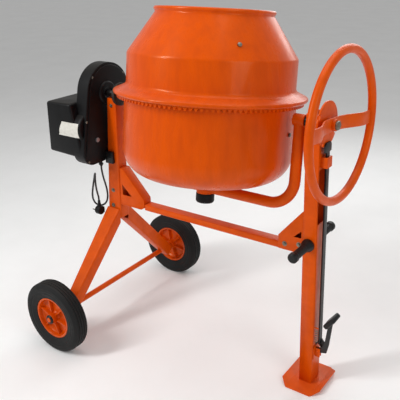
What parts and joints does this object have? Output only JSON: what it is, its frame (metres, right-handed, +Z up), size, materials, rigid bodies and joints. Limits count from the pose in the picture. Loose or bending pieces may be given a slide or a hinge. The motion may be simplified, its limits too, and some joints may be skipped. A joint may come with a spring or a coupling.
{
  "type": "concrete mixer",
  "caption": "Tilting-drum concrete mixer: geared drum on a yoke, tilt wheel with foot-released lock, belt-driven motor, A-frame on wheels.",
  "frame": {"origin": "on the floor, at the centre of the foot plate's sole, under the column", "axes": "+X from the drum towards the tilt wheel, +Z up, +Y away from the side that the drum's mouth is tipped towards for emptying"},
  "size_m": [1.2217, 0.8372, 1.3305],
  "materials": {
    "orange_enamel": "glossy orange enamel over sheet steel and tube",
    "orange_plastic": "orange moulded plastic",
    "black_cover": "black moulded plastic with a fine grain",
    "grip_rubber": "black moulded rubber",
    "tyre_rubber": "solid black rubber tyre with ribs round the tread",
    "zinc_plate": "zinc-plated steel",
    "bare_steel": "bright drawn steel",
    "black_steel": "satin black enamel over flat steel bar",
    "cast_iron": "dark cast iron",
    "green_button": "green moulded plastic",
    "red_button": "red moulded plastic",
    "motor_metal": "die-cast motor housing",
    "cord_pvc": "black PVC cord and moulded plug"
  },
  "bodies": {
    "frame": {"axle": "orange_enamel", "axle_cap_front": "black_cover", "axle_cap_rear": "black_cover", "beam": "orange_enamel", "belt_case_back": "black_cover", "belt_case_cover": "black_cover", "cable_clip": "black_cover", "column": "orange_enamel", "column_gusset": "orange_enamel", "cord": "cord_pvc", "cord_gland": "black_cover", "drive_belt": "grip_rubber", "foot_plate": "orange_enamel", "grip_front": "grip_rubber", "grip_rear": "grip_rubber", "handle_bar": "bare_steel", "leg_front": "orange_enamel", "leg_rear": "orange_enamel", "lock_guide": "orange_enamel", "motor": "motor_metal", "motor_cover": "black_cover", "pedal_bracket": "orange_enamel", "pinion_bearing": "cast_iron", "plug": "cord_pvc", "post": "orange_enamel", "post_gusset": "orange_enamel", "return_spring": "zinc_plate", "switch_body": "black_cover", "tilt_bearing": "bare_steel"},
    "yoke": {"yoke": "orange_enamel", "spindle": "bare_steel", "spindle_cap": "black_cover", "tilt_shaft": "bare_steel", "tilt_spacer": "black_cover", "lock_disc": "orange_enamel", "tilt_wheel": "orange_enamel"},
    "drum": {"drum_upper": "orange_enamel", "drum_lower": "orange_enamel", "drum_hub": "cast_iron", "ring_gear": "orange_enamel", "paddle_a": "orange_enamel", "paddle_b": "orange_enamel", "bowl_bolt_a": "zinc_plate", "bowl_bolt_b": "zinc_plate", "cone_bolt_a": "zinc_plate", "cone_bolt_b": "zinc_plate"},
    "pinion": {"pinion": "cast_iron", "pinion_shaft": "bare_steel", "belt_pulley": "cast_iron"},
    "rotor": {"motor_rotor": "bare_steel", "motor_pulley": "zinc_plate"},
    "wheel_front": {"tyre_front": "tyre_rubber", "rim_front": "orange_plastic"},
    "wheel_rear": {"tyre_rear": "tyre_rubber", "rim_rear": "orange_plastic"},
    "pedal": {"foot_pedal": "black_steel", "pedal_pad": "grip_rubber"},
    "lock": {"lock_rod": "black_steel"},
    "start_button": {"start_button": "green_button"},
    "stop_button": {"stop_button": "red_button"}
  },
  "joints": [
    {"name": "yoke_tilt", "type": "hinge", "parent": "frame", "child": "yoke", "pos_m": [-0.412, 0, 0.971], "axis": [1, 0, 0], "range_deg": [-112, 128]},
    {"name": "drum_spin", "type": "hinge", "parent": "yoke", "child": "drum", "pos_m": [-0.412, 0, 0.971], "axis": [0, 0.1374, 0.9905], "continuous": true},
    {"name": "pinion_spin", "type": "hinge", "parent": "yoke", "child": "pinion", "pos_m": [-0.7, 0, 0.971], "axis": [1, 0, 0], "continuous": true},
    {"name": "rotor_spin", "type": "hinge", "parent": "frame", "child": "rotor", "pos_m": [-0.97, -0.088, 0.84], "axis": [1, 0, 0], "continuous": true},
    {"name": "wheel_front_spin", "type": "hinge", "parent": "frame", "child": "wheel_front", "pos_m": [-0.915, -0.376, 0.147], "axis": [0, 1, 0], "continuous": true},
    {"name": "wheel_rear_spin", "type": "hinge", "parent": "frame", "child": "wheel_rear", "pos_m": [-0.915, 0.376, 0.147], "axis": [0, 1, 0], "continuous": true},
    {"name": "lock_slide", "type": "slide", "parent": "frame", "child": "lock", "axis": [0, 0, 1], "range_m": [-0.0099, 0], "stiffness_N_per_m": 900, "springref_m": 0.02, "deforming": ["return_spring"]},
    {"name": "pedal_press", "type": "hinge", "parent": "frame", "child": "pedal", "pos_m": [0.0365, 0, 0.14], "axis": [0, 1, 0], "range_deg": [0, 32]},
    {"name": "start_press", "type": "slide", "parent": "frame", "child": "start_button", "axis": [1, 0, 0], "range_m": [0, 0.003], "stiffness_N_per_m": 500, "springref_m": -0.002},
    {"name": "stop_press", "type": "slide", "parent": "frame", "child": "stop_button", "axis": [1, 0, 0], "range_m": [0, 0.003], "stiffness_N_per_m": 500, "springref_m": -0.002}
  ],
  "couplings": [
    {"joint": "pinion_spin", "follows": "drum_spin", "ratio": 10},
    {"joint": "rotor_spin", "follows": "drum_spin", "ratio": 74.6},
    {"joint": "pedal_press", "follows": "lock_slide", "rad_per_m": -56.3}
  ]
}
